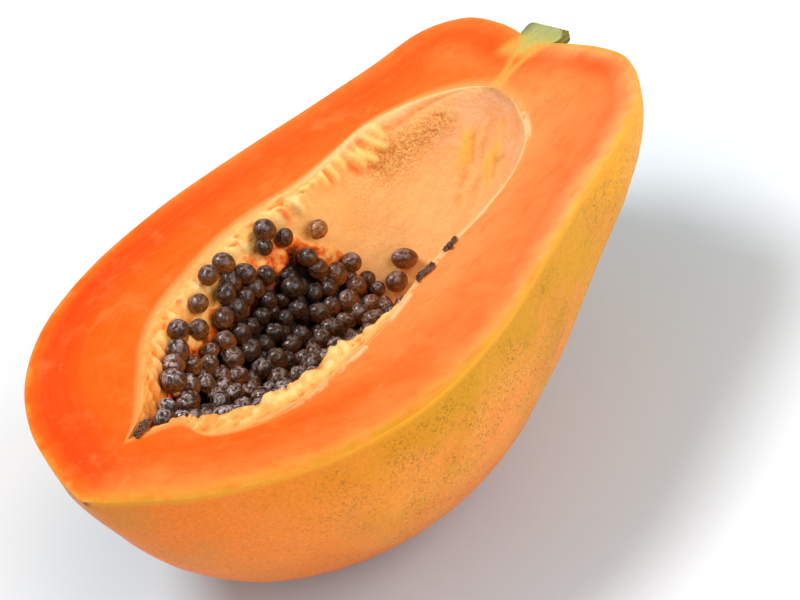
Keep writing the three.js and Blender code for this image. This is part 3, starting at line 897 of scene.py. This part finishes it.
def lining_sheet():
    s, across = np.broadcast_arrays(rows(BODY_STEPS), columns(LINING_STEPS, 1, -1))
    grid = lining_point(s, across)
    middle = cavity_floor(s)
    middle[..., 2] = CUT_HEIGHT + 20
    normals = grid_normals(grid)
    normals *= np.sign(np.sum(normals * (middle - grid), axis=-1, keepdims=True))
    from_rim = distance_from_rim(grid)

    drawn = {name: marks(s, across, lines) for name, lines in DETAILS.items()}
    strength = {name: drawn[name][0] for name in DETAILS}
    # Rings round the pegs, later coloured as pits: the pegs' painted shadow.
    around = [(*places, 2.1 * half_width, 0.0) for *places, half_width, _ in PEGS]
    shaded = np.clip(marks(s, across, around)[0] - 1.6 * strength["peg"], 0, 1)
    patch = marks(s, across, PATCHES)[0]
    faint = marks(s, across, FAINT_PATCHES)[0]
    shelf = (1 - smooth(from_rim, 9, 13)) * (1 - smooth(s, 0.52, 0.6))
    torn = torn_shelf(s, across, grid, from_rim)
    small = lumps(grid, 3.5, 9)
    height = sum(drawn[name][1] for name in DETAILS)
    height += shelf * (torn + right_bank(s, across, from_rim))
    height += 0.45 * lumps(grid, 11, 3) + 0.2 * small
    height += patch * 0.6 * lumps(grid, 1.1, 31)
    height *= smooth(from_rim, 0.4, 4)
    grid = grid + normals * height[..., None]
    grid[..., 2] = np.minimum(grid[..., 2], CUT_HEIGHT - CUT_SUNK)
    grid[..., 2] -= RIM_ROUND * hump(from_rim, 0, WORN_AT_RIM)
    values = {
        **strength,
        "pit": np.maximum(strength["pit"], 0.8 * shaded),
        "along": s,
        "rim": np.clip(from_rim / DEPTH_UNIT, 0, 1),
        "raised": np.clip(0.5 + shelf * torn * 0.6 + 0.08 * small, 0, 1),
        "patch": np.clip((patch + 0.35 * faint) * (1 - strength["peg"]), 0, 1),
        "shelf": shelf,
        # Where the lining is made paler as painted light, deep in the cavity.
        "painted_light_deep": smooth(from_rim, 18, 34),
    }
    return grid, values


def fruit_piece():
    skin, along = skin_sheet()
    scar = hump(np.linalg.norm(skin - TIP_SCAR, axis=-1), 0, TIP_SCAR_WIDTH)
    tree = outline_tree()
    cuts = {is_left: cut_sheet(is_left, tree) for is_left in (True, False)}
    lining, lining_values = lining_sheet()
    sheets = Sheets(("height", "scar", *cuts[True][1], *lining_values))
    sheets.add(skin, SKIN, along=along, height=skin[..., 2] / CUT_HEIGHT, scar=scar)
    for is_left, (grid, values) in cuts.items():
        sheets.add(grid, FLESH, flip=is_left, **values)
    sheets.add(lining, LINING, flip=True, **lining_values)
    piece = sheets.build("papaya_half", [skin_material(), flesh_material(), lining_material()])
    belongs(piece, "flesh", "fruit_half")
    return piece


# ---- Seeds ----

def core_lengths(u, v):
    """Millimetres on the pile's core for one unit of u and for one unit of v."""
    return [np.linalg.norm(step) / (2 * SLOPE_STEP) for step in slopes(core_top, u, v)]


def loose_centre(seed):
    return above(lining_point, *seed["at"], seed["radii"][2] + LOOSE_LIFT)


def scatter_seeds(draw, placed, stand, radius_mean, pitch, closeness):
    """Seeds in loose rows over the pile's core, every other row shifted by half a place."""
    def offset(size):
        return size * (2 * draw() - 1)

    found = []
    shift = 0.25
    row = SEED_ROWS[0]
    while row < SEED_ROWS[1]:
        place = shift * pitch / core_lengths(row, 0)[1]
        while place < 1:
            per_u, per_v = core_lengths(row, place)
            u = row + offset(SEED_JITTER) / per_u
            v = place + offset(SEED_JITTER) / per_v
            radius = radius_mean * (1 + offset(SEED_SPREAD))
            centre = above(core_top, u, v, stand + offset(SEED_UNEVENNESS))
            taken = placed + found
            gaps = [np.linalg.norm(c - centre) - closeness * (r + radius) for c, r, _ in taken]
            if min(gaps) >= 0:
                found.append((centre, radius, (u, v)))
            place += pitch / per_v
        row += SEED_ROW_STEP * (pitch / SEED_PITCH) / core_lengths(row, 0.5)[0]
        shift = 1 - shift
    return found


def ball(level):
    made = bmesh.new()
    bmesh.ops.create_icosphere(made, subdivisions=level, radius=1)
    points = np.array([v.co[:] for v in made.verts])
    faces = np.array([[v.index for v in face.verts] for face in made.faces])
    made.free()
    return points / np.linalg.norm(points, axis=1, keepdims=True), faces


def any_way(draw):
    return np.array([draw() - 0.5, draw() - 0.5, draw() - 0.5])


def random_turn(draw):
    axis = Vector(any_way(draw)).normalized()
    return np.array(Matrix.Rotation(2 * math.pi * draw(), 3, axis))


RIDGES = 7  # directions in which a seed's coat is crumpled
DENTS = 3
ANY_PHASE = 6.3  # about a full turn


def wrinkles(points, draw, strength):
    """Height of the coat's ridges, dents and rings on a unit ball, and how crested it is."""
    height = np.zeros(len(points))
    for _ in range(RIDGES):
        way = Vector(any_way(draw)).normalized()
        rate = 3 + 4.5 * draw()
        ridge = 1 - np.abs(np.sin(points @ np.array(way) * rate + ANY_PHASE * draw()))
        height += ridge / RIDGES
    dents = sum(
        np.sin(points @ any_way(draw) * 5 + ANY_PHASE * draw())
        for _ in range(DENTS)
    ) / DENTS
    rings = 0.5 + 0.5 * np.cos(8 * np.arccos(np.clip(points[:, 2], -1, 1)) + ANY_PHASE * draw())
    share = 0.8 * draw() ** 2
    crest = (1 - share) * height * 1.6 + share * rings
    return strength * (crest - 0.5) + 0.05 * dents, np.clip(crest, 0, 1)


def seed_shape(points, draw, radii, strength):
    """A crumpled seed, a little narrower at its top, made from the points of a unit ball."""
    bump, crest = wrinkles(points, draw, strength)
    narrow = 1 - 0.1 * np.clip(points[:, 2:3], -1, 1)
    return points * np.array(radii) * narrow * (1 + bump)[:, None], crest


def seed_mesh(name, items, level, material):
    """Seeds in one mesh, each (centre, radii, turn, jelly, lightness, painted highlight,
    wrinkles).
    """
    points, faces = ball(level)
    draw = seeded_draw(SEED_DRAW + len(items))
    sheets = Sheets(("crest", "lit", "jelly", "bloom"))
    for centre, radii, turn, jelly, lit, bloom, strength in items:
        shape, crest = seed_shape(points, draw, radii, strength)
        up = (points @ turn.T)[:, 2]
        sheets.put(
            shape @ turn.T + centre, faces, 0, crest=crest, lit=lit,
            jelly=np.clip(jelly * (0.4 + smooth(up, 0.5, -0.4)), 0, 1),
            # The painted highlight lies on each seed's upward side, where the lamps above would
            # shine.
            bloom=bloom * smooth(up, 0.4, 0.8),
        )
    return sheets.build(name, [material])


# Places where the pulp shows between the seeds: (u, v, radius, rise of the bed, paleness).
BARE_PLACES = [
    (0.46, 0.92, 2.6, 3.8, 1), (0.805, 0.91, 4.6, 2.4, 0.62), (0.925, 0.89, 4.2, 1.5, 0.75),
    (0.645, 0.88, 1.6, 3, 0.9), (0.295, 0.885, 2.4, 3.6, 0.85), (0.315, 0.7, 2.2, 3.8, 0.9),
    (0.335, 0.585, 2.2, 3.8, 0.85), (0.47, 0.72, 2, 3.8, 0.9), (0.43, 0.625, 2, 3.6, 0.85),
    (0.605, 0.69, 1.8, 3.4, 0.8), (0.2, 0.75, 2.6, 3, 0.9), (0.03, 0.85, 3.6, 0, 0.4),
    (0.145, 0.27, 2.6, 1.5, 0.7), (0.24, 0.3, 2.4, 2.5, 0.8), (0.75, 0.975, 2.6, 1.5, 0.8),
    (0.4, 0.3, 2.2, 2.5, 0.8), (0.53, 0.24, 2, 2.5, 0.8), (0.32, 0.16, 2.2, 2.5, 0.8),
    (0.69, 0.08, 6, 5.5, 1), (0.76, 0.09, 5.5, 5.5, 1), (0.365, 0.1, 2, 3.5, 0.9),
]
NEAR_EDGE = 0.12  # up to this v, the right shelf shows without seeds
TIP_FULL = 0.2  # up to this u, seeds cover it all the same
UNDER_SPAN = (0.36, 0.86)  # the part of the pile's width where lower seeds fill the gaps
# Seeds near this line are darkened as painted shade, deep in the pile.
DARK_MIDDLE = [(-26, 19), (-6, 21)]  # line along the darkest part of the pile


def pile_items(seeds, draw):
    """Seeds outside the bare places; those near the stem are rounder and show more jelly."""
    bare = [(core_top(u, v), radius) for u, v, radius, *_ in BARE_PLACES]
    items = []
    for centre, radius, (u, v) in seeds:
        radii = radius * np.array([0.95, 0.83 + 0.12 * draw(), 1.0 + 0.18 * draw()])
        fresh = float(smooth(u + 0.6 * v, 0.7, 1.2))
        # Painted shade: seeds along the dark middle get a lower lightness, which also dims their
        # jelly and painted highlight.
        lit = 1 - 0.9 * float(hump(line_distance(centre[None, None], DARK_MIDDLE)[0, 0], 0, 12))
        jelly = (0.35 + 0.6 * draw()) * (0.6 + fresh) * lit
        bloom = (0.3 + 0.7 * lit) * (0.4 + 0.6 * draw()) * (1.1 - 0.6 * fresh)
        item = (centre, radii, random_turn(draw), jelly, lit, bloom, 0.15 - 0.1 * fresh)
        covered = v > NEAR_EDGE or u < TIP_FULL
        if covered and all(np.linalg.norm(centre - place) > size for place, size in bare):
            items.append(item)
    return items


def bed_piece():
    u, v = rows(BED_STEPS[0]), columns(BED_STEPS[1])
    grid = core_top(u, v)
    inner = np.clip(np.minimum(np.minimum(v, 1 - v) * 5, np.minimum(u, 1 - u) * 9), 0, 1)
    # edge runs from the painted shade of the pile's middle (0) to the pale pulp at its border and
    # bare places (1).
    edge = 1 - smooth(inner, 0.0, 0.95)
    rise = np.zeros(edge.shape)
    for at_u, at_v, radius, height, paleness in BARE_PLACES:
        off = np.linalg.norm(grid - core_top(at_u, at_v), axis=-1)
        rise = np.maximum(rise, height * hump(off, 0, radius))
        edge = np.maximum(edge, paleness * smooth(off, 1.5 * radius, 0.6 * radius))
    tucked = 4.2 * (1 - smooth(inner, 0, 0.4))  # its border runs down into the lining
    grid[..., 2] += (2.2 - inner) * lumps(grid, 4.5, 2) - 1.8 * inner - 0.4 + rise - tucked
    sheets = Sheets(("edge",))
    sheets.add(grid, 0, edge=edge)
    piece = sheets.build("seed_bed", [pulp_material()])
    belongs(piece, "seed", "seeds")
    return piece


def scrap_items(scrap, draw):
    """A crushed seed coat: a few flat flakes along its length."""
    turn = np.array(Matrix.Rotation(scrap["turn"], 3, "Z"))
    length, width, thick = scrap["radii"]
    items = []
    for k in range(SCRAP_FLAKES):
        place = 2 * (k + 0.5) / SCRAP_FLAKES - 1
        shift = np.array([place * 0.75 * length, (draw() - 0.5) * 0.8 * width, 0.0])
        centre = np.array([*scrap["at"], CUT_HEIGHT + 0.7 * thick]) + turn @ shift
        radii = np.array([0.42 * length, 0.7 * width, thick]) * (0.6 + 0.6 * draw())
        twist = np.array(Matrix.Rotation(2.4 * (draw() - 0.5), 3, "Z"))
        items.append((centre, radii, turn @ twist, 0.4 + 0.5 * draw(), 0.4, 0.05, 0.6))
    return items


def pile_pieces(draw, material):
    kept_free = [(loose_centre(seed), SEED_KEEP_OUT, None) for seed in LOOSE_SEEDS]
    top = scatter_seeds(draw, kept_free, **TOP_LAYER)
    under = scatter_seeds(draw, kept_free + top, **UNDER_LAYER)
    under = [seed for seed in under if UNDER_SPAN[0] < seed[2][1] < UNDER_SPAN[1]]
    for name, seeds in (("seed_pile", top), ("seed_pile_under", under)):
        piece = seed_mesh(name, pile_items(seeds, draw), SEED_DETAIL, material)
        belongs(piece, "seed", "seeds")


def loose_piece(seed, material, slot):
    facing = above(lining_point, *seed["at"], 1) - lining_point(*seed["at"])
    tilt = np.array(Vector((0, 0, 1)).rotation_difference(Vector(facing)).to_matrix())
    turn = tilt @ np.array(Matrix.Rotation(seed["turn"], 3, "Z"))
    item = (loose_centre(seed), seed["radii"], turn, 1.0, 1.0, 0.4, 0.05)
    piece = seed_mesh(seed["name"] + "_fine", [item], LOOSE_DETAIL, material)
    belongs(piece, slot, seed["name"])


def seed_pieces():
    dark = seed_material("seed_coat", (16, 6, 2), (84, 50, 22), (160, 86, 16))
    light = seed_material("pale_seed_coat", (96, 48, 10), (176, 116, 44), (206, 124, 36))
    draw = seeded_draw(SEED_DRAW)
    pile_pieces(draw, dark)
    for seed in LOOSE_SEEDS:
        is_pale = seed["name"] == "pale_seed"
        loose_piece(seed, light if is_pale else dark, "pale_seed" if is_pale else "seed")
    for scrap in SCRAPS:
        piece = seed_mesh(scrap["name"] + "_fine", scrap_items(scrap, draw), SEED_DETAIL, dark)
        belongs(piece, "seed", scrap["name"])


# ---- Stem ----

def stem_end(x, y, border):
    """Torn end of the stub, in rings from its border to its middle."""
    centre = np.array([x, y, CUT_HEIGHT - 2.5])
    fade = np.linspace(1, 0, 16)[:, None, None]
    cap = centre + (border[None] - centre) * fade
    cap[..., 0] += 0.5 * (1 - fade[..., 0] ** 3) + 0.15 * lumps(cap, 1.5)
    return cap


def stem_piece():
    stations = rows(STEM_STEPS[0])
    ring = curve_through(STEM_RINGS)(stations[:, 0])
    x, y, radius = ring[:, 0:1], ring[:, 1:2], np.maximum(ring[:, 2:3], 0.05)
    share = columns(STEM_STEPS[1])
    angle = -np.pi * share
    side, down = np.cos(angle), np.sin(angle)
    edge = radius * (1 + 0.035 * np.cos(9 * angle) * smooth(stations, 0.45, 0.8))
    shoulder = 0.15 * smooth(stations, 0.6, 0.85)  # the stub's right side keeps its bark
    sunk = 0.4 * (1 - smooth(stations, 0.45, 0.75))  # its foot fades into the flesh

    def shaved(points, over):
        points[..., 2] -= shoulder * smooth(-over, 0.35, 1.0) + sunk * np.abs(over) ** 4
        return points

    bark = grid_of(x, y + edge * side, CUT_HEIGHT + edge * down)
    bark = shaved(bark, side * np.abs(side) ** 6)
    over = columns(STEM_STEPS[2], -1, 1)
    face = grid_of(x, y + edge[:, :1] * over, CUT_HEIGHT)
    face[..., 2] += 0.12 * lumps(face, 2.5) - 0.1 * np.abs(over) ** 6
    face = shaved(face, over)
    kept = 1.0 - 0.5 * smooth(stations, 0.55, 1.0)
    cut_share = smooth(over, -kept - 0.07, -kept + 0.07)
    sheets = Sheets(("face", "over", "round", "along", "end"))
    sheets.add(bark, 0, flip=True, round=-share, along=stations)
    sheets.add(face, 0, face=cut_share, over=over, along=stations,
               round=np.arccos(over) / -np.pi)
    border = np.concatenate([bark[-1], face[-1]])
    sheets.add(stem_end(ring[-1, 0], ring[-1, 1], border), 0, flip=True, end=1.0)
    piece = sheets.build("stem_half", [stem_material()])
    belongs(piece, "stem", "stem")
    return piece


# ---- Studio ----

FLOOR_REACH = 2500
FLOOR_SUNK = 0.05
FLOOR_STEPS = 40


def floor_piece():
    sheets = Sheets(())
    span = columns(FLOOR_STEPS, -FLOOR_REACH, FLOOR_REACH)
    sheets.add(grid_of(span.T, span, -FLOOR_SUNK), 0)
    piece = sheets.build("floor", [floor_material()])


def soft_light(name, place, target, size, power):
    """A round lamp, in metres and watts, that points at its target."""
    lamp = bpy.data.lights.new(name, "AREA")
    lamp.shape = "DISK"
    lamp.size = size
    lamp.energy = power
    holder = linked(name, lamp)
    holder.location = place
    aim = Vector(target) - Vector(place)
    holder.rotation_euler = aim.to_track_quat("-Z", "Y").to_euler()


WORLD_STRENGTH = 0.4


def studio():
    world = bpy.data.worlds.new("studio")
    world.use_nodes = True
    background = world.node_tree.nodes["Background"]
    background.inputs["Color"].default_value = (1, 1, 1, 1)
    background.inputs["Strength"].default_value = WORLD_STRENGTH
    bpy.context.scene.world = world
    bpy.context.scene.view_settings.view_transform = "Standard"
    soft_light("key", (-0.28, 0.45, 1.5), (0, 0, 0.05), size=0.6, power=15.5)
    soft_light("fill", (0.3, -1.45, 0.8), (0, 0, 0.04), size=1.6, power=23)


CAMERA_AT = (-0.32279, -0.49936, 0.51244)
CAMERA_RIGHT = (0.62728, -0.71362, -0.31188)
CAMERA_UP = (0.64046, 0.24485, 0.72792)
CAMERA_FORWARD = (0.44309, 0.65635, -0.61063)
CAMERA_LENS = 117
CAMERA_SENSOR = 36


def camera():
    lens = bpy.data.cameras.new("camera")
    lens.lens = CAMERA_LENS
    lens.sensor_width = CAMERA_SENSOR
    holder = linked("camera", lens)
    axes = Matrix((CAMERA_RIGHT, CAMERA_UP, [-v for v in CAMERA_FORWARD])).transposed()
    holder.matrix_world = Matrix.Translation(CAMERA_AT) @ axes.to_4x4()
    bpy.context.scene.camera = holder


fruit_piece()
bed_piece()
seed_pieces()
stem_piece()
floor_piece()
studio()
camera()
